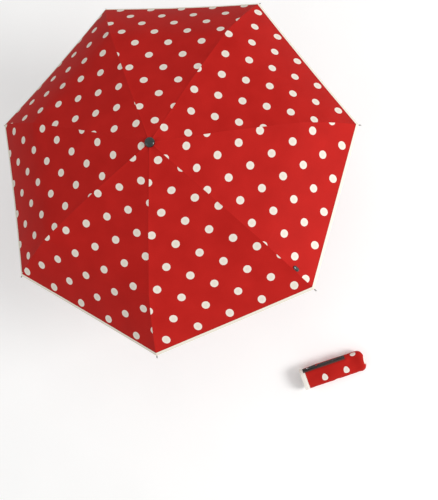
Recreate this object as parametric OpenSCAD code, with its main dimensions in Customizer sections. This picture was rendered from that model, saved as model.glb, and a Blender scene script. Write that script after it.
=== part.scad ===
// Compact folding umbrella with a three-part telescopic shaft, seven folding
// ribs, a polka-dot canopy and a separate zipped sleeve. Millimetres, +Z up
// along the shaft, origin at the centre of the handle's lower end face.

/* [Ribs] */
// Length of the top rib and of the middle rib, pivot to pivot
rib_l = 158; // [130:1:190]
// Straight length of the outer rib, from its pivot to the canopy's corner
outer_l = 164; // [140:1:200]
// Fall of the top rib below level
top_slope = 11; // [6:0.5:14]
// Fall of the middle rib below level
mid_slope = 16; // [12:0.5:20]
// Fall of the outer rib's chord below level
outer_slope = 36; // [30:0.5:42]
// How far the outer rib's slope changes along its curve
outer_bend = 14; // [4:1:20]
// Width of the top rib's channel
rib_w = 2.4; // [2:0.1:2.8]
// Height of the top rib's channel
rib_h = 3.6; // [3:0.1:4]
// Width of the middle rib
mid_w = 1.8; // [1.4:0.1:2]
// Diameter of the outer rib's wire
wire_d = 2.0; // [1.6:0.1:2.4]

/* [Stretchers] */
// Distance along the top rib from its hinge to the stretcher's fork
fork_at = 68; // [56:1:80]
// Length of a stretcher from the runner's wire to its fork
stretcher_l = 77; // [66:1:90]
// From the upper tube's face out to the circle on which the top ribs hinge
crown_hinge_out = 3.5; // [3.2:0.1:5]
// From the upper tube's face out to the circle on which the stretchers hinge
runner_hinge_out = 4.5; // [4.2:0.1:5.5]

/* [Shaft] */
// Outer diameter of the upper tube
upper_d = 10; // [9:0.1:11]
// Wall of every tube
tube_wall = 0.55; // [0.4:0.05:0.7]
// How far one tube stays inside the next when pulled out
tube_lap = 22; // [15:1:30]
// Running clearance on the radius between sliding pieces
slide_gap = 0.05; // [0.02:0.01:0.1]

/* [Handle] */
// Diameter of the handle
handle_d = 38; // [34:1:40]
// Height of the handle
handle_h = 38; // [32:1:40]
// Wall of the handle's shell
handle_wall = 2.6; // [2:0.1:3]
// Width of the wrist strap's webbing
strap_w = 8; // [6:0.5:10]
// Thickness of the webbing
strap_t = 1.3; // [0.8:0.1:2]
// How far the wrist strap hangs below the handle
strap_drop = 150; // [120:5:180]

/* [Canopy] */
// Thickness of the canopy's cloth as a solid
cloth_t = 0.8; // [0.5:0.1:1.2]
// Gap between the ribs and the cloth
cloth_gap = 0.5; // [0.3:0.1:1]
// Width of the binding along the rim
binding_w = 6; // [4:0.5:10]
// Diameter of the cap on top
cap_d = 22; // [18:0.5:24]

/* [Sleeve] */
// Length of the sleeve
sleeve_l = 188; // [170:1:220]
// Width of the sleeve across
sleeve_w = 62; // [56:1:70]
// Height of the sleeve where it lies
sleeve_h = 44; // [36:1:50]
// Thickness of the sleeve's cloth
sleeve_t = 1.4; // [0.8:0.1:2]
// Width of the pale hem at the mouth
hem_w = 11; // [8:0.5:16]
// Length of the zip
zip_l = 125; // [90:1:150]

/* [Hidden] */
$fn = 48;
RIBS = 7;
pitch = 360 / RIBS;
first_rib = -90;
pin_r = 0.9;
eye_r = 2.0;
wire_ring_r = 0.5;

// Shaft: three tubes that nest, each a running fit in the next
upper_r = upper_d / 2;
crown_hinge_r = upper_r + crown_hinge_out;
runner_hinge_r = upper_r + runner_hinge_out;
middle_r = upper_r - tube_wall - slide_gap;
lower_r = middle_r - tube_wall - slide_gap;

// Stretcher angle above level that brings its fork onto the top rib
fork_r = crown_hinge_r + fork_at * cos(top_slope);
stretcher_rise = acos((fork_r - runner_hinge_r) / stretcher_l);
runner_drop = fork_at * sin(top_slope) + stretcher_l * sin(stretcher_rise);

// The same linkage when folded, with the top rib nearly upright
folded_top = 86.5;
folded_fork_r = crown_hinge_r + fork_at * cos(folded_top);
folded_rise = acos((folded_fork_r - runner_hinge_r) / stretcher_l);
folded_drop = fork_at * sin(folded_top) + stretcher_l * sin(folded_rise);

// Heights along the shaft
runner_below = 12;
runner_above = 3.5;
crown_above = 2.8;
crown_below = 4.2;
nest_gap = 5;
nest_z = handle_h + nest_gap;
upper_l = folded_drop + runner_below + crown_above;
middle_l = upper_l - 4;
lower_z = 12;
lower_top = nest_z + upper_l - 6;
middle_z = lower_top - tube_lap;
upper_z = middle_z + middle_l - tube_lap;
crown_z = upper_z + upper_l - crown_above;
runner_z = crown_z - runner_drop;

// Rib joints in the radial plane: radius, and fall below the crown's hinge
j1_r = crown_hinge_r + rib_l * cos(top_slope);
j1_fall = rib_l * sin(top_slope);
j2_r = j1_r + rib_l * cos(mid_slope);
j2_fall = j1_fall + rib_l * sin(mid_slope);
arc_r = outer_l / (2 * sin(outer_bend / 2));
slope_a = outer_slope - outer_bend / 2;
slope_b = outer_slope + outer_bend / 2;
corner_r = j2_r + outer_l * cos(outer_slope);
corner_fall = j2_fall + outer_l * sin(outer_slope);
side_gap = 0.3;
mid_y = rib_w / 2 + side_gap + mid_w / 2;
mid_h = 2.4;

// Cap over the crown, with room under it for the cloth
cap_neck_r = upper_r + 0.2;
cap_under = cloth_t + 0.4;
cap_h = 9;

// Handle interior and the strap's loop round its pin
cap_t = 3;
inner_r = handle_d / 2 - handle_wall;
strap_x = -9.5;
strap_pin_z = 7;
strap_pin_r = 1.2;
strap_loop_r = 12;
strap_swing = 3.5;
floor_z = -strap_drop - strap_t;

// Where the sleeve lies: the middle of its mouth, and the way it points
sleeve_mouth = [-200, -575];
sleeve_turn = -29;
zip_start = 10;
zip_lean = 42;
slider_x = 24;

// ---- helpers ----

module tube(outer, inner, length)
    difference() {
        cylinder(r = outer, h = length);
        translate([0, 0, -1]) cylinder(r = inner, h = length + 2);
    }

// A cylinder along +Y from y0 to y1
module pin_y(r, y0, y1)
    translate([0, y1, 0]) rotate([90, 0, 0]) cylinder(r = r, h = y1 - y0);

// A flat bar along +X with round ends, centred on y = 0
module bar(length, width, height) {
    translate([0, -width / 2, -height / 2]) cube([length, width, height]);
    pin_y(height / 2, -width / 2, width / 2);
    translate([length, 0, 0]) pin_y(height / 2, -width / 2, width / 2);
}

module at_rib(i) rotate([0, 0, first_rib + (i - 1) * pitch]) children();

module falling(r, fall, slope)
    translate([r, 0, crown_z - fall]) rotate([0, slope, 0]) children();

// Slots for seven hinged ends, and the groove of the wire they turn on
module ring_slots(inner, outer, width, z0, z1, wire_at) {
    for (i = [1:RIBS]) at_rib(i)
        translate([inner, -width / 2, z0]) cube([outer - inner, width, z1 - z0]);
    rotate_extrude() translate([wire_at, 0]) circle(r = wire_ring_r + slide_gap);
}

module hinge_wire(at) rotate_extrude() translate([at, 0]) circle(r = wire_ring_r);

// ---- handle ----

module handle_shell() color([0.06, 0.06, 0.065]) difference() {
    rotate_extrude($fn = 96) polygon([
        [lower_r, lower_z + 0.5], [7, lower_z + 0.5], [7, handle_h - 3.5],
        [inner_r, handle_h - 3.5], [inner_r, 0.6], [handle_d / 2 - 2, 0.6],
        [handle_d / 2 - 0.7, 1.4], [handle_d / 2, 3.4], [handle_d / 2, handle_h - 5],
        [handle_d / 2 - 0.8, handle_h - 4.6], [handle_d / 2 - 0.8, handle_h - 1],
        [handle_d / 2 - 1.8, handle_h], [lower_r, handle_h]]);
    // sloping facets either side of the strap's notch
    for (side = [-1, 1]) rotate([0, 0, side * 62])
        translate([-handle_d / 2 + 1.6, 0, 0]) rotate([0, -9, 0])
            translate([-10, -30, -30]) cube([10, 60, 46]);
    // three finger grooves along each side of the notch
    for (turn = [-36, -28, -20, 20, 28, 36]) rotate([0, 0, turn])
        translate([-handle_d / 2 - 0.2, 0, 7]) cylinder(r = 0.9, h = handle_h - 14);
    // sockets of the strap's pin
    translate([strap_x, 0, strap_pin_z]) pin_y(strap_pin_r, -14.8, 14.8);
}

module handle_cap() color([0.05, 0.05, 0.055]) difference() {
    cylinder(r = inner_r, h = cap_t, $fn = 96);
    translate([strap_x - 4.5, -strap_w / 2 - 0.5, -1]) cube([8.5, strap_w + 1, cap_t + 2]);
    translate([3, 0, -1]) linear_extrude(1.6) inlay_outline(0);
}

module inlay_outline(grow) {
    square([3.4 + 2 * grow, 7 + 2 * grow], center = true);
    for (side = [-1, 1]) translate([0, side * 3.5]) circle(r = 1.7 + grow);
}

module handle_inlay() color([0.85, 0.05, 0.06])
    translate([3, 0, 0.1]) linear_extrude(0.5) inlay_outline(0);

module strap_pin() color([0.6, 0.6, 0.62])
    translate([strap_x, 0, strap_pin_z]) pin_y(strap_pin_r, -14.6, 14.6);

// Outline of the strap's loop, shrunk by inset all round
module strap_outline(inset) hull() {
    translate([0, strap_pin_z]) circle(r = strap_pin_r + 0.2 + strap_t - inset);
    translate([strap_swing, strap_loop_r - strap_drop]) circle(r = strap_loop_r - inset);
}

module wrist_strap() color([0.09, 0.09, 0.1])
    translate([strap_x, strap_w / 2, 0]) rotate([90, 0, 0]) linear_extrude(strap_w)
        difference() {
            strap_outline(0);
            strap_outline(strap_t);
        }

// ---- shaft ----

module lower_tube() color([0.78, 0.79, 0.8])
    translate([0, 0, lower_z]) tube(lower_r, lower_r - tube_wall, lower_top - lower_z);

module middle_tube() color([0.72, 0.73, 0.75])
    translate([0, 0, middle_z]) tube(middle_r, middle_r - tube_wall, middle_l);

catch_w = 3;
catch_h = 6;
catch_z = runner_z - runner_below - 0.4 - catch_h;
catch_out = 1.2;

module upper_tube() color([0.12, 0.12, 0.13]) difference() {
    translate([0, 0, upper_z]) tube(upper_r, upper_r - tube_wall, upper_l);
    translate([-catch_w / 2 - 0.1, 0, catch_z - 0.1])
        cube([catch_w + 0.2, upper_r + 1, catch_h + 0.2]);
}

module runner_catch() color([0.7, 0.71, 0.73])
    translate([-catch_w / 2, middle_r + 0.15, catch_z])
        cube([catch_w, upper_r + catch_out - middle_r - 0.15, catch_h]);

runner_r = 7.5;

module runner() color([0.05, 0.05, 0.055]) translate([0, 0, runner_z]) difference() {
    rotate_extrude() polygon([
        [0, -runner_below], [runner_r - 0.5, -runner_below], [runner_r, 0.6 - runner_below],
        [runner_r, -runner_above - 1], [runner_hinge_r + 1.5, -runner_above],
        [runner_hinge_r + 1.5, runner_above], [0, runner_above]]);
    translate([0, 0, -runner_below - 1]) cylinder(r = upper_r + slide_gap, h = 30);
    ring_slots(runner_r, runner_hinge_r + 3, 2.4, -runner_above - 2, runner_above + 1,
               runner_hinge_r);
    // keyway that lets the catch pass
    translate([-catch_w / 2 - 0.4, 0, -runner_below - 1])
        cube([catch_w + 0.8, upper_r + catch_out + 0.3, 30]);
}

module runner_wire() color([0.75, 0.76, 0.78])
    translate([0, 0, runner_z]) hinge_wire(runner_hinge_r);

module crown() color([0.07, 0.07, 0.075]) translate([0, 0, crown_z]) difference() {
    translate([0, 0, -crown_below])
        tube(crown_hinge_r + 2, upper_r, crown_below + crown_above);
    ring_slots(upper_r + 1.3, crown_hinge_r + 4, rib_w + 0.4, -crown_below - 1,
               crown_above + 1, crown_hinge_r);
}

module crown_wire() color([0.75, 0.76, 0.78])
    translate([0, 0, crown_z]) hinge_wire(crown_hinge_r);

module top_cap() color([0.16, 0.18, 0.17]) translate([0, 0, crown_z + crown_above])
    rotate_extrude($fn = 64) polygon(concat(
        [[0, -3], [upper_r - tube_wall, -3], [upper_r - tube_wall, 0], [cap_neck_r, 0],
         [cap_neck_r, cap_under], [cap_d / 2, cap_under], [cap_d / 2, cap_under + 2]],
        [for (a = [10:10:90]) [(cap_d / 2) * cos(a), cap_under + 2 + (cap_h - 4) * sin(a)]]));

// ---- ribs ----

module top_rib() color([0.7, 0.71, 0.73]) falling(crown_hinge_r, 0, top_slope) {
    difference() {
        bar(rib_l, rib_w, rib_h);
        pin_y(wire_ring_r + 0.3, -rib_w, rib_w);
        // the channel's open underside
        translate([9, -rib_w / 2 + 0.5, -rib_h]) cube([rib_l - 15, rib_w - 1, rib_h + 1]);
    }
    translate([rib_l, 0, 0]) {
        pin_y(pin_r, rib_w / 2, mid_y + mid_w / 2 + 0.05);
        pin_y(1.5, mid_y + mid_w / 2 + 0.05, mid_y + mid_w / 2 + 0.55);
    }
}

module mid_rib() color([0.7, 0.71, 0.73]) falling(j1_r, j1_fall, mid_slope) {
    difference() {
        translate([0, mid_y, 0]) bar(rib_l, mid_w, mid_h);
        pin_y(pin_r + slide_gap, 0, 2 * mid_y);
        translate([8, mid_y - mid_w / 2 + 0.4, -mid_h]) cube([rib_l - 15, mid_w - 0.8, 1.5 * mid_h - 0.5]);
    }
    translate([rib_l, 0, 0]) {
        pin_y(pin_r, -wire_d / 2 - 0.1, mid_y - mid_w / 2);
        pin_y(1.5, -wire_d / 2 - 0.6, -wire_d / 2 - 0.1);
    }
}

// The outer rib's curve, from its pivot: children stand at the end of it
module along_outer(slope)
    translate([-arc_r * sin(slope_a), 0, -arc_r * cos(slope_a)])
        translate([arc_r * sin(slope), 0, arc_r * cos(slope)]) rotate([0, slope, 0]) children();

wire_start = slope_a + 0.1;

module outer_rib() color([0.62, 0.63, 0.65]) falling(j2_r, j2_fall, 0) {
    translate([-arc_r * sin(slope_a), 0, -arc_r * cos(slope_a)]) rotate([90, 0, 0])
        rotate([0, 0, 90 - slope_b]) rotate_extrude(angle = slope_b - wire_start)
            translate([arc_r, 0]) circle(r = wire_d / 2, $fn = 24);
    difference() {
        pin_y(eye_r, -wire_d / 2, wire_d / 2);
        pin_y(pin_r + slide_gap, -wire_d, wire_d);
    }
}

module rib_tip() color([0.8, 0.79, 0.77]) falling(j2_r, j2_fall, 0)
    along_outer(slope_b) rotate([0, 90, 0]) rotate_extrude()
        polygon([[0, 0], [wire_d / 2, 0], [wire_d / 2 + 0.5, 0.6], [wire_d / 2 + 0.8, 4],
                 [wire_d / 2 + 0.5, 7], [wire_d / 2 - 0.2, 8.6], [0, 9]]);

fork_l = 18;
cheek_y = rib_w / 2 + 0.7;
cheek_t = 0.8;
web_z = 1.8;
root_x = 8;
root_l = 6;

module stretcher() color([0.7, 0.71, 0.73])
    translate([runner_hinge_r, 0, runner_z]) rotate([0, -stretcher_rise, 0]) {
        half = cheek_y + cheek_t;
        difference() {
            union() {
                pin_y(1.6, -1, 1);
                translate([0, -1, -1.4]) cube([root_x + 1, 2, 3]);
            }
            pin_y(wire_ring_r + 0.3, -2, 2);
        }
        translate([root_x, -half, -1.4]) cube([root_l, 2 * half, web_z + cheek_t + 1.4]);
        translate([root_x + root_l, -half, web_z])
            cube([stretcher_l - fork_l - root_x - root_l, 2 * half, cheek_t]);
        for (y = [-half, cheek_y]) {
            translate([root_x + root_l, y, -1.4])
                cube([stretcher_l - root_x - root_l, cheek_t, web_z + cheek_t + 1.4]);
            translate([stretcher_l, 0, 0.8]) pin_y(1.3, y, y + cheek_t);
        }
    }

// ---- canopy ----

top_level = rib_h / 2 + cloth_gap;

// Fall of the cloth's underside below the crown's hinge, on a rib, at radius r
function outer_fall(r) = j2_fall
    + arc_r * cos(slope_a) - sqrt(pow(arc_r, 2) - pow(r - j2_r + arc_r * sin(slope_a), 2));
function rib_fall(r) = r < j1_r ? (r - crown_hinge_r) * tan(top_slope)
    : r < j2_r ? j1_fall + (r - j1_r) * tan(mid_slope)
    : outer_fall(r);
function cloth_fall(r) = r < crown_hinge_r + 3 ? -crown_above - 0.2
    : r < 40 ? let (t = (r - crown_hinge_r - 3) / (37 - crown_hinge_r))
        (1 - t) * (-crown_above - 0.2) + t * (rib_fall(40) - top_level)
    : rib_fall(r) - top_level / cos(top_slope);

hole_r = cap_neck_r + 0.2;
stations = concat([hole_r, crown_hinge_r + 3, 24, 40, 75, 115, j1_r, j1_r + 50, j1_r + 100, j2_r],
    [for (k = [1:5]) j2_r + (corner_r - j2_r) * k / 5]);
seam = 0.004;
across = [seam, 0.25, 0.5, 0.75, 1 - seam];

// A point of a gore: on the straight line between two ribs at station radius r
function gore_point(r, t, lift) = [
    r * ((1 - t) * cos(0) + t * cos(pitch)), r * t * sin(pitch),
    crown_z - cloth_fall(r) + lift];

// A closed sheet between two stations, from the underside by the given thickness
module gore_sheet(radii, low, high) {
    rows = len(radii);
    cols = len(across);
    n = rows * cols;
    points = [for (lift = [low, high]) for (r = radii) for (t = across) gore_point(r, t, lift)];
    function at(side, i, j) = side * n + i * cols + j;
    faces = concat(
        [for (i = [0:rows - 2]) for (j = [0:cols - 2]) each [
            [at(0, i, j), at(0, i + 1, j), at(0, i + 1, j + 1)],
            [at(0, i, j), at(0, i + 1, j + 1), at(0, i, j + 1)],
            [at(1, i, j), at(1, i + 1, j + 1), at(1, i + 1, j)],
            [at(1, i, j), at(1, i, j + 1), at(1, i + 1, j + 1)]]],
        [for (i = [0:rows - 2]) each [
            [at(0, i, 0), at(1, i, 0), at(1, i + 1, 0)],
            [at(0, i, 0), at(1, i + 1, 0), at(0, i + 1, 0)],
            [at(0, i, cols - 1), at(1, i + 1, cols - 1), at(1, i, cols - 1)],
            [at(0, i, cols - 1), at(0, i + 1, cols - 1), at(1, i + 1, cols - 1)]]],
        [for (j = [0:cols - 2]) each [
            [at(0, 0, j), at(1, 0, j + 1), at(1, 0, j)],
            [at(0, 0, j), at(0, 0, j + 1), at(1, 0, j + 1)],
            [at(0, rows - 1, j), at(1, rows - 1, j), at(1, rows - 1, j + 1)],
            [at(0, rows - 1, j), at(1, rows - 1, j + 1), at(0, rows - 1, j + 1)]]]);
    polyhedron(points, faces);
}

module canopy() color([0.78, 0.1, 0.1])
    for (i = [1:RIBS]) at_rib(i) gore_sheet(stations, 0, cloth_t);

// The binding lies on the cloth's upper face, just inside the rim
module rim_binding() color([0.93, 0.91, 0.85])
    for (i = [1:RIBS]) at_rib(i)
        gore_sheet([corner_r - binding_w, corner_r], cloth_t + 0.05, cloth_t + 0.45);

// The cloth's underside beside the first rib, where the outer rib has this slope
module on_gore(slope) at_rib(1) falling(j2_r, j2_fall, 0) along_outer(slope)
    translate([0, 0, top_level]) rotate([-atan(tan(pitch / 2) * sin(slope)), 0, 0])
        children();

closure_l = 90;      // tie strap under the cloth
closure_w = 14;
closure_side = 5;    // from the rib's line to the strap's near edge
closure_drop = 3.5;  // strap hangs this far under the cloth's underside
closure_slope = 4.5; // degrees of the outer rib's bend left beyond the strap's middle
stud_h = 1.4;
stud_r = 4.2;        // round ends of the stud plate
stud_run = 8;        // between the centres of its ends
stud_side = 5.3;
stud_share = 0.55;   // of the outer rib's bend
stud_gap = 0.3;

// A short strap under the cloth beside the first rib, which ties the folded canopy
module closure_strap() color([0.75, 0.09, 0.09]) on_gore(slope_b - closure_slope)
    translate([-closure_l / 2, closure_side, -closure_drop])
        cube([closure_l, closure_w, cloth_t]);

// A plain long stud plate on the cloth, which the strap's end closes on
module snap_button() color([0.25, 0.26, 0.26])
    on_gore(slope_a + stud_share * outer_bend)
        translate([0, stud_side, cloth_t + stud_gap]) linear_extrude(stud_h) hull()
            for (end = [-1, 1]) translate([end * stud_run / 2, 0]) circle(r = stud_r);

// ---- sleeve ----

module on_floor() translate([sleeve_mouth[0], sleeve_mouth[1], floor_z])
    rotate([0, 0, sleeve_turn]) children();

// Cross-section of the lying sleeve, shrunk by inset
module sleeve_section(inset) hull() for (side = [-1, 1])
    translate([side * (sleeve_w - sleeve_h) / 2, sleeve_h / 2])
        circle(r = sleeve_h / 2 - inset, $fn = 64);

module sleeve_run(x0, x1, inset) translate([x0, 0, 0]) rotate([90, 0, 90])
    linear_extrude(x1 - x0) sleeve_section(inset);

module sleeve_body() color([0.78, 0.1, 0.1]) on_floor() difference() {
    sleeve_run(hem_w, sleeve_l, 0);
    sleeve_run(hem_w - 1, sleeve_l - sleeve_t, sleeve_t);
}

module sleeve_hem() color([0.92, 0.92, 0.9]) on_floor() difference() {
    sleeve_run(0, hem_w, 0);
    sleeve_run(-1, hem_w + 1, sleeve_t);
}

// The zip's place on the sleeve's round shoulder, leaning to +Y of its axis
module on_zip() on_floor() translate([0, (sleeve_w - sleeve_h) / 2, sleeve_h / 2])
    rotate([-zip_lean, 0, 0]) translate([0, 0, sleeve_h / 2]) children();

tape_w = 14;
tape_t = 0.8;
coil_w = 3;
coil_h = 1.2;
puller_z = 4.6;

module zip_tape() color([0.16, 0.15, 0.14]) on_zip()
    translate([zip_start, -tape_w / 2, 0]) cube([zip_l, tape_w, tape_t]);

module zip_coil() color([0.12, 0.12, 0.12]) on_zip()
    translate([zip_start, -coil_w / 2, tape_t]) cube([zip_l, coil_w, coil_h]);

module zip_slider() color([0.2, 0.2, 0.21]) on_zip()
    translate([slider_x, 0, tape_t + slide_gap]) {
        difference() {
            translate([-4.5, -4, 0]) cube([9, 8, 3.2]);
            translate([-6, -coil_w / 2 - slide_gap, -1]) cube([12, coil_w + 2 * slide_gap, 1 + coil_h]);
        }
        for (y = [-2.6, 1.6]) translate([-1.5, y, 3.2]) cube([3, 1, 2.4]);
        translate([0, 0, puller_z]) pin_y(0.6, -2.6, 2.6);
    }

module zip_puller() color([0.15, 0.16, 0.16]) on_zip()
    translate([slider_x, 0, tape_t + slide_gap + puller_z]) {
        difference() {
            union() {
                pin_y(1.2, -1.4, 1.4);
                translate([0, -1.4, -0.6]) cube([7, 2.8, 1.2]);
            }
            pin_y(0.6 + slide_gap, -2, 2);
        }
        translate([0, 0, -0.6]) linear_extrude(1.6) {
            translate([7, -3.6]) square([20, 7.2]);
            for (x = [7, 27]) translate([x, 0]) circle(r = 3.6);
        }
    }

// ---- assembly ----

handle_shell();
handle_cap();
handle_inlay();
strap_pin();
wrist_strap();
lower_tube();
middle_tube();
upper_tube();
runner_catch();
runner();
runner_wire();
crown();
crown_wire();
top_cap();
canopy();
rim_binding();
closure_strap();
snap_button();
sleeve_body();
sleeve_hem();
zip_tape();
zip_coil();
zip_slider();
zip_puller();
for (i = [1:RIBS]) {
    at_rib(i) top_rib();
    at_rib(i) mid_rib();
    at_rib(i) outer_rib();
    at_rib(i) rib_tip();
    at_rib(i) stretcher();
}
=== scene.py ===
"""Compact folding umbrella and its sleeve: cloth, webbing, plastics and steel."""

import math

import bmesh
import bpy
from mathutils import Matrix, Vector, noise


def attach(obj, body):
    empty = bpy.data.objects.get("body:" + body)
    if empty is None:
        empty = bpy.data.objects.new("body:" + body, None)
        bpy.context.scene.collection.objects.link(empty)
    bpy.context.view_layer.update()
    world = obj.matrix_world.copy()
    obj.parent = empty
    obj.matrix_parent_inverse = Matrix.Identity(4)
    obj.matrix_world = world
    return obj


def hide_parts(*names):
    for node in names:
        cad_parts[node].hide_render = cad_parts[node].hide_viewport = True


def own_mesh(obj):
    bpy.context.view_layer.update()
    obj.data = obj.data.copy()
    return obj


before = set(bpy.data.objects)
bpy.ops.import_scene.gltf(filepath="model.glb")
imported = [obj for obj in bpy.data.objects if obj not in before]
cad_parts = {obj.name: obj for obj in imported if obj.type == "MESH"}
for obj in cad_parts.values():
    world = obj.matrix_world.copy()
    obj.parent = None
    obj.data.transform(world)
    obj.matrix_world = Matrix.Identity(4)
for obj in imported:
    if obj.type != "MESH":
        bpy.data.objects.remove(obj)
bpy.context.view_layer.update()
bpy.ops.object.select_all(action="DESELECT")

MM = 0.001

# ---- sizes repeated from the part, in metres ----
RIBS = 7
PITCH = 2 * math.pi / RIBS
HALF = PITCH / 2
CROWN_Z = 465.026 * MM
CROWN_HINGE_R = 8.5 * MM
RIB_L = 158 * MM
TOP_SLOPE = math.radians(11)
MID_SLOPE = math.radians(16)
OUTER_SLOPE = math.radians(36)
OUTER_BEND = math.radians(14)
OUTER_L = 164 * MM
J1_R = CROWN_HINGE_R + RIB_L * math.cos(TOP_SLOPE)
J1_FALL = RIB_L * math.sin(TOP_SLOPE)
J2_R = J1_R + RIB_L * math.cos(MID_SLOPE)
J2_FALL = J1_FALL + RIB_L * math.sin(MID_SLOPE)
CORNER_R = J2_R + OUTER_L * math.cos(OUTER_SLOPE)
ARC_R = OUTER_L / (2 * math.sin(OUTER_BEND / 2))
SLOPE_A = OUTER_SLOPE - OUTER_BEND / 2
TOP_LEVEL = 2.3 * MM
CLOTH_TOP = 0.8 * MM
STRAP_X = -9.5 * MM
STRAP_W = 8 * MM
STRAP_T = 1.3 * MM
STRAP_SWING = 3.5 * MM
PIN_Z = 7 * MM
BEND_Z = -138 * MM
PIN_R = 1.4 * MM
BEND_R = 12 * MM
FLOOR_Z = -151.3 * MM
SLEEVE_L = 188 * MM
SLEEVE_MOUTH = Vector((-200 * MM, -575 * MM, FLOOR_Z))
SLEEVE_TURN = math.radians(-29)
SLEEVE_R = 22 * MM
SLEEVE_SIDE = 9 * MM
ZIP_LEAN = math.radians(42)
ZIP_START = 10 * MM
ZIP_L = 125 * MM
SLIDER_X = 24 * MM
PULLER_Z = 5.45 * MM
TAPE_W = 14 * MM
CLOTH_GAP = -0.1 * MM
BINDING_IN = 6.0
HEM_W = 11.0
CLOSURE_L = 90 * MM
CLOSURE_W = 14 * MM
CLOSURE_SIDE = 5 * MM
CLOSURE_DROP = 3.1 * MM
CLOSURE_SLOPE = math.radians(4.5)
STUD_SHARE = 0.55
STUD_SIDE = 5.3 * MM
STUD_GAP = 0.3 * MM


# Two threads or ribs make one repeat of the wave texture, in its own unit
TWO_THREADS = 6.3


# ---- helpers for materials ----
def linear(code):
    """An sRGB hex colour as linear RGBA."""
    parts = [int(code[k : k + 2], 16) / 255 for k in (1, 3, 5)]
    return [c / 12.92 if c <= 0.04045 else ((c + 0.055) / 1.055) ** 2.4 for c in parts] + [1.0]


def add(tree, kind, inputs=None, stops=None, **settings):
    """Adds a node with its settings, its ramp's stops, and its inputs as values or links."""
    made = tree.nodes.new(kind)
    for key, value in settings.items():
        setattr(made, key, value)
    for key, value in (inputs or {}).items():
        if isinstance(value, bpy.types.NodeSocket):
            tree.links.new(value, made.inputs[key])
        else:
            made.inputs[key].default_value = value
    if stops:
        bar = made.color_ramp.elements
        while len(bar) < len(stops):
            bar.new(0.5)
        for stop, (place, colour) in zip(bar, stops):
            stop.position = place
            stop.color = colour
    return made


def finish_of(name):
    """A new material with its tree and its shader."""
    made = bpy.data.materials.new(name)
    made.use_nodes = True
    return made, made.node_tree, made.node_tree.nodes["Principled BSDF"]


def set_finish(tree, shader, values, **links):
    """Sets the shader's own sockets and links the ones that vary."""
    for key, value in values.items():
        shader.inputs[key].default_value = value
    for key, value in links.items():
        tree.links.new(value, shader.inputs[key.replace("_", " ")])


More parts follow.
